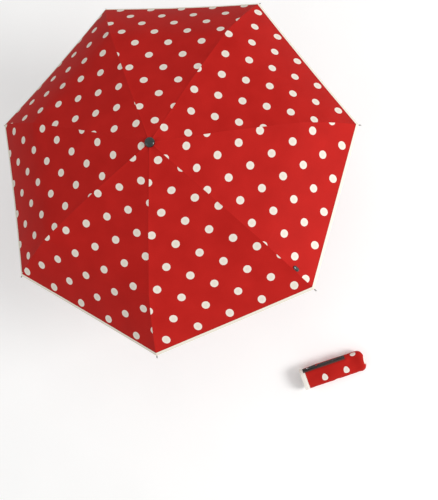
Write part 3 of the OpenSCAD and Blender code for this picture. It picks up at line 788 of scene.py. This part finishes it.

# zip slider: a plate over the teeth between two walls, with ears and an axle for the bow
at_slider = on_zip @ Matrix.Translation((SLIDER_X, 0, 0))
block((9 * MM, 8 * MM, 0.9 * MM), (0, 0, 2.9 * MM), 0.3 * MM, 1.6 * MM)
pick("FACE", lambda f: f.normal.z > 0.9 and f.calc_area() > 2e-5)
bpy.ops.mesh.inset(thickness=1.0 * MM, depth=0.25 * MM)
plate = settle("slider_plate", zip_metal, at_slider)
block((8 * MM, 1.1 * MM, 1.7 * MM), (0, 3.6 * MM, 1.95 * MM), 0.25 * MM)
left_wall = settle("slider_wall", zip_metal, at_slider)
block((8 * MM, 1.1 * MM, 1.7 * MM), (0, -3.6 * MM, 1.95 * MM), 0.25 * MM)
right_wall = settle("slider_wall", zip_metal, at_slider)
ears = []
for y in (-2.1, 2.1):
    block((3.4 * MM, 0.9 * MM, 2.9 * MM), (0, y * MM, 4.5 * MM), 0.2 * MM)
    ears.append(settle("slider_ear", zip_metal, at_slider))
begin()
bpy.ops.mesh.primitive_cylinder_add(vertices=20, radius=0.6 * MM, depth=5 * MM,
                                    location=(0, 0, PULLER_Z), rotation=(math.pi / 2, 0, 0))
edit()
pick("FACE", lambda f: len(f.verts) > 8)
bpy.ops.mesh.inset(thickness=0.15 * MM, depth=0.1 * MM)
axle = settle("slider_axle", wire_silver, at_slider)
slider = joined("zip_slider_body", [plate, left_wall, right_wall, *ears, axle])
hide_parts("zip_slider")
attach(slider, "zip_slider")

# puller: a silver wire bow through a rounded rubber tag with a sunk face
begin()
bpy.ops.mesh.primitive_torus_add(major_radius=2.1 * MM, minor_radius=0.5 * MM, major_segments=40,
                                 minor_segments=12, location=(2.9 * MM, 0, PULLER_Z))
bpy.ops.transform.resize(value=(1.75, 0.72, 1))
bow = settle("puller_bow", wire_silver, at_slider)
block((25.5 * MM, 7.2 * MM, 1.7 * MM), (17.9 * MM, 0, PULLER_Z + 0.25 * MM), 0.35 * MM, 3.4 * MM)
for up in (1, -1):
    pick("FACE", lambda f: f.normal.z * up > 0.95 and f.calc_area() > 5e-5)
    bpy.ops.mesh.inset(thickness=1.1 * MM, depth=-0.28 * MM)
tag = settle("puller_tag", soft_grey, at_slider)
ridges = []
for k in range(5):
    block((0.7 * MM, 3.4 * MM, 0.5 * MM),
          ((15 + 2.2 * k) * MM, 0, PULLER_Z + 0.95 * MM), 0.2 * MM)
    ridges.append(settle("puller_ridge", soft_grey, at_slider))
begin()
bpy.ops.mesh.primitive_cylinder_add(vertices=28, radius=1.9 * MM, depth=0.5 * MM,
                                    location=(27.2 * MM, 0, PULLER_Z + 0.92 * MM))
edit()
pick("FACE", lambda f: f.normal.z > 0.9)
bpy.ops.mesh.inset(thickness=0.35 * MM, depth=0.12 * MM)
dot = settle("puller_dot", red_inlay, at_slider)
puller = joined("zip_puller_tag", [tag, bow, *ridges, dot])
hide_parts("zip_puller")
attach(puller, "zip_puller")


# ---- trim of the canopy and its ribs ----
def rib_frame(rib, r, fall, slope):
    """The frame at a point of a rib's pivot line, X out along the rib and Z off its back."""
    return (Matrix.Rotation(-math.pi / 2 + (rib - 1) * PITCH, 4, "Z")
            @ Matrix.Translation((r, 0, CROWN_Z - fall)) @ Matrix.Rotation(slope, 4, "Y"))


def on_outer(rib, slope):
    """The frame on the outer rib's curve where it has this slope."""
    r = J2_R + ARC_R * (math.sin(slope) - math.sin(SLOPE_A))
    fall = J2_FALL + ARC_R * (math.cos(SLOPE_A) - math.cos(slope))
    return rib_frame(rib, r, fall, slope)


def on_gore(slope):
    """The cloth's underside beside the first rib, leaning as the gore does there."""
    return on_outer(1, slope) @ Matrix.Translation((0, 0, TOP_LEVEL)) @ Matrix.Rotation(
        -math.atan(math.tan(HALF) * math.sin(slope)), 4, "X")


# sewn ties round the ribs, one turned and bound loop, copied
begin()
bpy.ops.mesh.primitive_torus_add(major_radius=2.3 * MM, minor_radius=0.42 * MM, major_segments=20,
                                 minor_segments=6, rotation=(0, math.pi / 2, 0))
first_turn = settle("tie_turn", tie_thread, Matrix.Identity(4), 180)
turns = []
for k in range(3):
    one = first_turn.copy()
    one.data = first_turn.data.copy()
    bpy.context.scene.collection.objects.link(one)
    one.data.transform(Matrix.Translation(((k - 1) * 0.8 * MM, 0, 0)) @ Matrix.Rotation(
        0.14 * (k - 1), 4, "Z"))
    turns.append(one)
bpy.data.objects.remove(first_turn)
tie = joined("rib_tie", turns)
for rib in range(1, RIBS + 1):
    spots = [("top", rib_frame(rib, CROWN_HINGE_R, 0, TOP_SLOPE), 128 * MM, 1.0),
             ("mid", rib_frame(rib, J1_R, J1_FALL, MID_SLOPE)
              @ Matrix.Translation((0, 2.4 * MM, 0)), 112 * MM, 0.8)]
    for zone, base, out, scale in spots:
        one = tie.copy()
        one.data = tie.data.copy()
        one.name = one.data.name = f"tie_{zone}_{rib}"
        bpy.context.scene.collection.objects.link(one)
        one.data.transform(base @ Matrix.Translation((out, 0, 0.35 * MM))
                           @ Matrix.Diagonal((1, scale, scale, 1)))
        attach(one, f"{zone}_rib_{rib}")
    for k, share in enumerate((0.3, 0.62, 0.92)):
        one = tie.copy()
        one.data = tie.data.copy()
        one.name = one.data.name = f"tie_outer_{rib}_{k + 1}"
        bpy.context.scene.collection.objects.link(one)
        one.data.transform(on_outer(rib, SLOPE_A + share * OUTER_BEND)
                           @ Matrix.Translation((0, 0, 0.7 * MM))
                           @ Matrix.Diagonal((1, 0.62, 0.72, 1)))
        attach(one, f"outer_rib_{rib}")
bpy.data.objects.remove(tie)

# closure strap under the cloth, hemmed, with the other half of its stud
strap_rows = []
at_strap = on_gore(SLOPE_A + OUTER_BEND - CLOSURE_SLOPE)
for k in range(25):
    x = (k / 24 - 0.5) * CLOSURE_L
    dip = 0.5 * MM * math.sin(math.pi * k / 24)
    strap_rows.append([
        (at_strap @ Vector((x, CLOSURE_SIDE + CLOSURE_W * c / 8, -CLOSURE_DROP - dip)),
         (x, CLOSURE_W * c / 8)) for c in range(9)])
closure, closure_area = grid_piece("closure_strap_cloth", strap_rows, False, [tie_cloth], 0.6 * MM,
                                   offset=0.0)
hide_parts("closure_strap")
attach(closure, "outer_rib_1")

# stud plate: long, round ended, its middle raised again inside a sunk ring
block((16.4 * MM, 8.4 * MM, 0.9 * MM), (0, 0, 0.45 * MM), 0.2 * MM, 4.1 * MM)
pick("FACE", lambda f: f.normal.z > 0.9 and f.calc_area() > 5e-5)
bpy.ops.mesh.inset(thickness=0.7 * MM, depth=-0.25 * MM)
bpy.ops.mesh.inset(thickness=0.6 * MM, depth=0.45 * MM)
stud = settle("stud_cap", cap_plastic, on_gore(SLOPE_A + STUD_SHARE * OUTER_BEND)
              @ Matrix.Translation((0, STUD_SIDE, CLOTH_TOP + STUD_GAP)))
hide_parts("snap_button")
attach(stud, "outer_rib_1")

# ---- stage and light ----
bpy.ops.mesh.primitive_plane_add(size=14, location=(0, 0, FLOOR_Z - 0.1 * MM))
floor = bpy.context.object
floor.name = "floor"
made, tree, shader = finish_of("pale matte floor")
spot = add(tree, "ShaderNodeTexNoise", {
    "Vector": add(tree, "ShaderNodeTexCoord").outputs["Object"], "Scale": 3.0, "Detail": 2.0})
tone = add(tree, "ShaderNodeValToRGB", {0: spot.outputs[0]},
           stops=[(0.3, linear("#F3F3F2")), (0.7, linear("#F7F7F6"))])
set_finish(tree, shader, {"Roughness": 0.9, "Emission Color": linear("#FFFFFF"),
                          "Emission Strength": 0.16}, Base_Color=tone.outputs[0])
floor.data.materials.append(made)


CANOPY_MIDDLE = Vector((0, 0, 0.3))


def soft_light(name, place, size, power):
    """A round area light that looks at the canopy."""
    lamp = bpy.data.lights.new(name, "AREA")
    lamp.shape = "DISK"
    lamp.size = size
    lamp.energy = power
    made = bpy.data.objects.new(name, lamp)
    bpy.context.scene.collection.objects.link(made)
    made.location = place
    made.rotation_euler = (CANOPY_MIDDLE - Vector(place)).to_track_quat("-Z", "Y").to_euler()


soft_light("key", (1.6, -2.7, 2.3), 1.6, 88)
soft_light("fill", (-2.2, 1.2, 2.4), 2.2, 8)
world = bpy.data.worlds.new("studio")
world.use_nodes = True
sky = world.node_tree.nodes["Background"]
sky.inputs["Color"].default_value = linear("#FFFFFF")
sky.inputs["Strength"].default_value = 0.58
bpy.context.scene.world = world
bpy.context.scene.view_settings.view_transform = "Standard"
